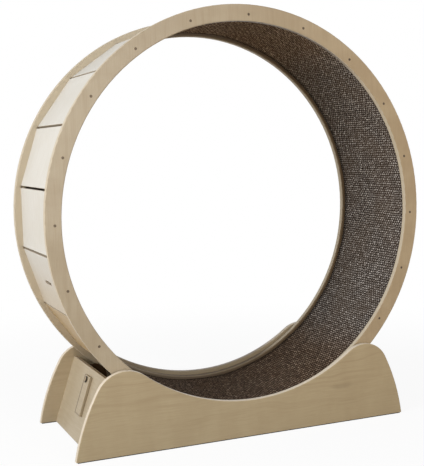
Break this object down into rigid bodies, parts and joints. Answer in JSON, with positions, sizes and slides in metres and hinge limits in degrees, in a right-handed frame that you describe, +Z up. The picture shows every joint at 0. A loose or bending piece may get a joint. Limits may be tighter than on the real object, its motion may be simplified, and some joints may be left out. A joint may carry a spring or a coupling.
{
  "type": "cat exercise wheel",
  "caption": "Freestanding wooden running wheel for a cat: a slatted drum with a woven running mat turns on rollers hidden in a low waved base with a sliding lock bar.",
  "frame": {"origin": "on the floor, under the middle of the wheel", "axes": "+Z up; the wheel turns about an axis parallel to Y; the front ring faces -Y and the lock bar is at -X"},
  "size_m": [1.1, 0.396, 1.152],
  "materials": {
    "ring_plywood": "clear satin lacquer on pale birch plywood",
    "pale_plywood": "limed white poplar plywood, matt",
    "panel_plywood": "clear satin lacquer on birch veneer, grain lengthwise",
    "end_plywood": "clear satin lacquer on birch plywood",
    "backing_plywood": "sanded plywood",
    "beech_dowel": "fluted beech",
    "mat_weave": "grey-brown woven mat",
    "bronzed_screw": "bronzed countersunk head",
    "black_knob": "glossy black",
    "black_nylon": "moulded nylon",
    "roller_tyre": "soft polyurethane",
    "foot_rubber": "matt black",
    "bearing_steel": "ground bearing steel",
    "bright_steel": "drawn steel rod",
    "spacer_aluminium": "mill finish",
    "zinc_steel": "zinc plated"
  },
  "bodies": {
    "base": {"axle_end_spacers": "spacer_aluminium", "axle_tube_left": "spacer_aluminium", "axle_tube_right": "spacer_aluminium", "bearing_inner_races": "bearing_steel", "bearing_spacers": "spacer_aluminium", "cam_bolts": "zinc_steel", "cam_locks": "zinc_steel", "end_panel_left": "end_plywood", "end_panel_right": "end_plywood", "foot_strip_back": "foot_rubber", "foot_strip_front": "foot_rubber", "panel_dowels": "beech_dowel", "roller_axle_left": "bright_steel", "roller_axle_right": "bright_steel", "side_panel_back": "panel_plywood", "side_panel_front": "panel_plywood"},
    "wheel": {"ring_front": "ring_plywood", "ring_back": "ring_plywood", "ring_screws_front": "bronzed_screw", "ring_screws_back": "bronzed_screw", "running_mat": "mat_weave", "slat_01": "pale_plywood", "slat_02": "pale_plywood", "slat_03": "pale_plywood", "slat_04": "pale_plywood", "slat_05": "pale_plywood", "slat_06": "pale_plywood", "slat_07": "pale_plywood", "slat_08": "pale_plywood", "slat_09": "pale_plywood", "slat_10": "pale_plywood", "slat_11": "pale_plywood", "slat_12": "pale_plywood", "slat_13": "pale_plywood", "slat_14": "pale_plywood", "slat_15": "pale_plywood", "slat_16": "pale_plywood", "slat_17": "pale_plywood", "slat_18": "pale_plywood", "slat_19": "pale_plywood", "slat_20": "pale_plywood"},
    "roller_front_left": {"roller_front_left_tyre": "roller_tyre", "roller_front_left_hub": "black_nylon", "roller_front_left_bearings": "bearing_steel"},
    "roller_front_right": {"roller_front_right_tyre": "roller_tyre", "roller_front_right_hub": "black_nylon", "roller_front_right_bearings": "bearing_steel"},
    "roller_back_left": {"roller_back_left_tyre": "roller_tyre", "roller_back_left_hub": "black_nylon", "roller_back_left_bearings": "bearing_steel"},
    "roller_back_right": {"roller_back_right_tyre": "roller_tyre", "roller_back_right_hub": "black_nylon", "roller_back_right_bearings": "bearing_steel"},
    "lock": {"lock_backing_plate": "backing_plywood", "lock_bar": "end_plywood", "lock_guide_bushes": "black_nylon", "lock_guide_screws": "zinc_steel", "lock_knob": "black_knob"}
  },
  "joints": [
    {"name": "wheel_spin", "type": "hinge", "parent": "base", "child": "wheel", "pos_m": [0, 0, 0.602], "axis": [0, 1, 0], "continuous": true},
    {"name": "roller_front_left_spin", "type": "hinge", "parent": "base", "child": "roller_front_left", "pos_m": [-0.34202, -0.1725, 0.13073], "axis": [0, 1, 0], "continuous": true},
    {"name": "roller_front_right_spin", "type": "hinge", "parent": "base", "child": "roller_front_right", "pos_m": [0.34202, -0.1725, 0.13073], "axis": [0, 1, 0], "continuous": true},
    {"name": "roller_back_left_spin", "type": "hinge", "parent": "base", "child": "roller_back_left", "pos_m": [-0.34202, 0.1725, 0.13073], "axis": [0, 1, 0], "continuous": true},
    {"name": "roller_back_right_spin", "type": "hinge", "parent": "base", "child": "roller_back_right", "pos_m": [0.34202, 0.1725, 0.13073], "axis": [0, 1, 0], "continuous": true},
    {"name": "lock_slide", "type": "slide", "parent": "base", "child": "lock", "axis": [0.309, 0, 0.9511], "range_m": [0, 0.0563]}
  ],
  "couplings": [
    {"joint": "roller_front_left_spin", "follows": "wheel_spin", "ratio": -17.188},
    {"joint": "roller_front_right_spin", "follows": "wheel_spin", "ratio": -17.188},
    {"joint": "roller_back_left_spin", "follows": "wheel_spin", "ratio": -17.188},
    {"joint": "roller_back_right_spin", "follows": "wheel_spin", "ratio": -17.188}
  ]
}
